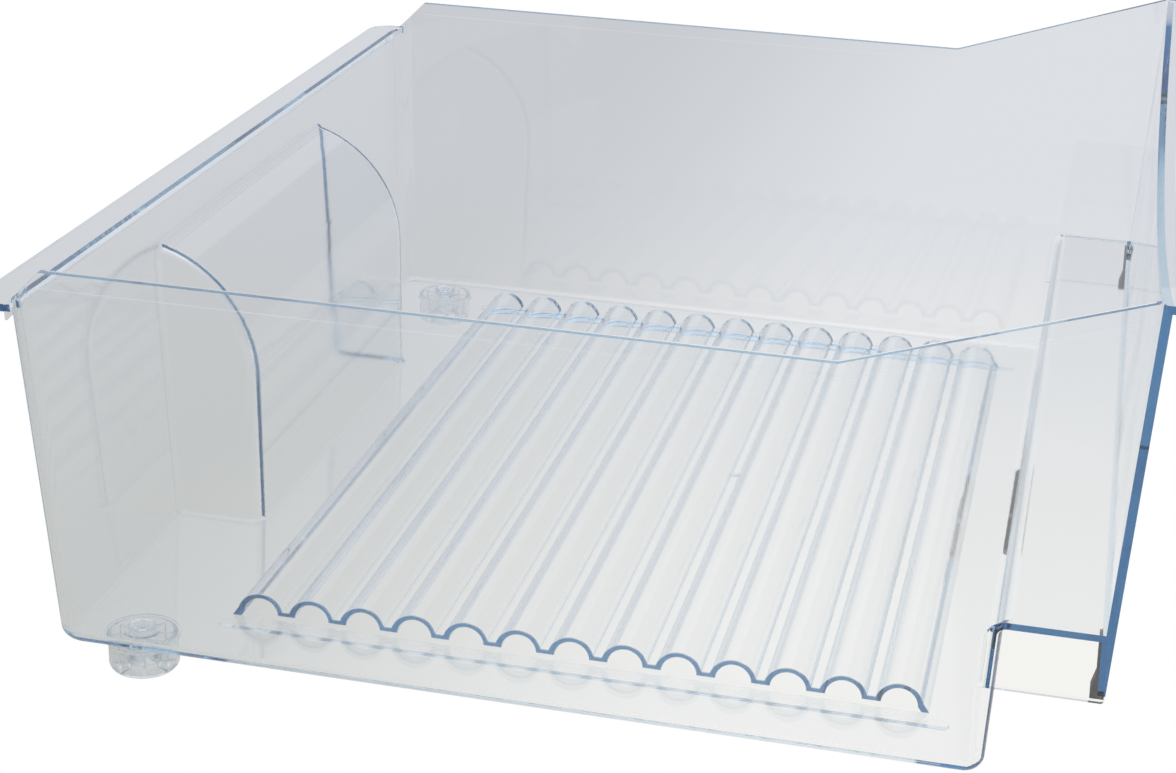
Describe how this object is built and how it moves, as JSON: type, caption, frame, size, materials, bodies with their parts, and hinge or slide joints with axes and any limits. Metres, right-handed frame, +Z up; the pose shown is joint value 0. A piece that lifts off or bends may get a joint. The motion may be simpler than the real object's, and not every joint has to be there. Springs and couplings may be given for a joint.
{
  "type": "refrigerator drawer tub",
  "caption": "Clear open-topped fridge drawer tub with a wavy floor, a grip channel under its front ledge and guide rollers under its rear corners.",
  "frame": {"origin": "below the middle of the drawer, level with the undersides of the rollers", "axes": "+Z up, the drawer's front faces -Y, and +X is its right side seen from the front"},
  "size_m": [0.5116, 0.4466, 0.2149],
  "materials": {
    "clear_plastic": "polished clear plastic with a faint blue tint",
    "roller_plastic": "clear plastic, satin from use",
    "pin_plastic": "clear plastic",
    "grey_rubber": "matt"
  },
  "bodies": {
    "tub": {"drawer_tub": "clear_plastic", "roller_pin_left": "pin_plastic", "roller_pin_right": "pin_plastic", "front_strip_left": "grey_rubber", "front_strip_right": "grey_rubber", "skirt_buffer_left": "grey_rubber", "skirt_buffer_right": "grey_rubber"},
    "left_roller": {"guide_roller_left": "roller_plastic"},
    "right_roller": {"guide_roller_right": "roller_plastic"}
  },
  "joints": [
    {"name": "left_roller_turn", "type": "hinge", "parent": "tub", "child": "left_roller", "pos_m": [-0.21915, 0.17065, 0], "axis": [0, 0, 1], "continuous": true},
    {"name": "right_roller_turn", "type": "hinge", "parent": "tub", "child": "right_roller", "pos_m": [0.21915, 0.17065, 0], "axis": [0, 0, 1], "continuous": true}
  ]
}
